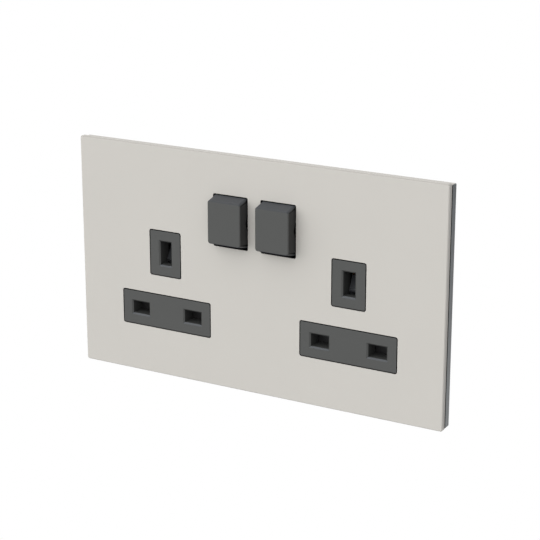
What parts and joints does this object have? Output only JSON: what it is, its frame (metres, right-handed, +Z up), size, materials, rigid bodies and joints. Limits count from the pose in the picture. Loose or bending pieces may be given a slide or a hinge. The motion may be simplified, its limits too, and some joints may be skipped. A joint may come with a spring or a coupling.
{
  "type": "switched socket outlet",
  "caption": "Flush wall socket outlet: flat clip-on cover, proud rocker switches, shuttered rectangular pin slots, and a rear housing with wire terminals.",
  "frame": {"origin": "on the wall plane at the plate's centre, midway between the two fixing screws", "axes": "+X to the right and +Z up as seen from the room, +Y into the wall"},
  "size_m": [0.146, 0.0341, 0.0857],
  "materials": {
    "cover": "pale grey, smooth satin",
    "frame": "blue-grey, satin",
    "insert": "dark grey, satin",
    "housing": "dark grey, fine matt texture",
    "shutter": "near black, smooth",
    "brass": "pressed brass",
    "bronze": "phosphor bronze spring strip",
    "silver": "silver alloy contact",
    "steel": "drawn spring wire",
    "screw": "zinc plated"
  },
  "bodies": {
    "housing": {"cover_plate": "cover", "mounting_frame": "frame", "front_moulding": "insert", "rear_housing": "housing", "supply_bar": "brass", "neutral_bar": "brass", "earth_strap": "brass", "fixed_button_left": "silver", "load_strip_left": "brass", "line_contact_left": "bronze", "neutral_contact_left": "bronze", "earth_contact_left": "bronze", "shutter_spring_left": "steel", "fixing_screw_left": "screw", "fixed_button_right": "silver", "load_strip_right": "brass", "line_contact_right": "bronze", "neutral_contact_right": "bronze", "earth_contact_right": "bronze", "shutter_spring_right": "steel", "fixing_screw_right": "screw", "terminal_neutral": "brass", "terminal_screw_neutral": "screw", "terminal_line": "brass", "terminal_screw_line": "screw", "terminal_earth_left": "brass", "terminal_screw_earth_left": "screw", "terminal_earth_right": "brass", "terminal_screw_earth_right": "screw", "assembly_screw_1": "screw", "assembly_screw_2": "screw", "assembly_screw_3": "screw", "assembly_screw_4": "screw"},
    "rocker_left": {"rocker_left": "insert", "plunger_spring_left": "steel"},
    "plunger_left": {"plunger_left": "shutter"},
    "rocking_contact_left": {"rocking_contact_left": "bronze", "moving_button_left": "silver"},
    "shutter_left": {"shutter_left": "shutter"},
    "rocker_right": {"rocker_right": "insert", "plunger_spring_right": "steel"},
    "plunger_right": {"plunger_right": "shutter"},
    "rocking_contact_right": {"rocking_contact_right": "bronze", "moving_button_right": "silver"},
    "shutter_right": {"shutter_right": "shutter"}
  },
  "joints": [
    {"name": "rocker_left_tilt", "type": "hinge", "parent": "housing", "child": "rocker_left", "pos_m": [-0.00955, -0.0026, 0.01915], "axis": [1, 0, 0], "range_deg": [-5.5, 5.5]},
    {"name": "plunger_left_slide", "type": "slide", "parent": "rocker_left", "child": "plunger_left", "axis": [0, -1, 0], "range_m": [0, 0.001], "stiffness_N_per_m": 300, "springref_m": -0.004, "deforming": ["plunger_spring_left"]},
    {"name": "rocking_contact_left_tilt", "type": "hinge", "parent": "housing", "child": "rocking_contact_left", "pos_m": [-0.00955, 0.0095, 0.01915], "axis": [1, 0, 0], "range_deg": [-9.92, 9.92]},
    {"name": "shutter_left_slide", "type": "slide", "parent": "housing", "child": "shutter_left", "axis": [0, 0, -1], "range_m": [0, 0.0055], "stiffness_N_per_m": 60, "springref_m": -0.01, "deforming": ["shutter_spring_left"]},
    {"name": "rocker_right_tilt", "type": "hinge", "parent": "housing", "child": "rocker_right", "pos_m": [0.00955, -0.0026, 0.01915], "axis": [1, 0, 0], "range_deg": [-5.5, 5.5]},
    {"name": "plunger_right_slide", "type": "slide", "parent": "rocker_right", "child": "plunger_right", "axis": [0, -1, 0], "range_m": [0, 0.001], "stiffness_N_per_m": 300, "springref_m": -0.004, "deforming": ["plunger_spring_right"]},
    {"name": "rocking_contact_right_tilt", "type": "hinge", "parent": "housing", "child": "rocking_contact_right", "pos_m": [0.00955, 0.0095, 0.01915], "axis": [1, 0, 0], "range_deg": [-9.92, 9.92]},
    {"name": "shutter_right_slide", "type": "slide", "parent": "housing", "child": "shutter_right", "axis": [0, 0, -1], "range_m": [0, 0.0055], "stiffness_N_per_m": 60, "springref_m": -0.01, "deforming": ["shutter_spring_right"]}
  ],
  "couplings": [
    {"joint": "rocking_contact_left_tilt", "follows": "rocker_left_tilt", "ratio": -1.8},
    {"joint": "rocking_contact_right_tilt", "follows": "rocker_right_tilt", "ratio": -1.8}
  ]
}
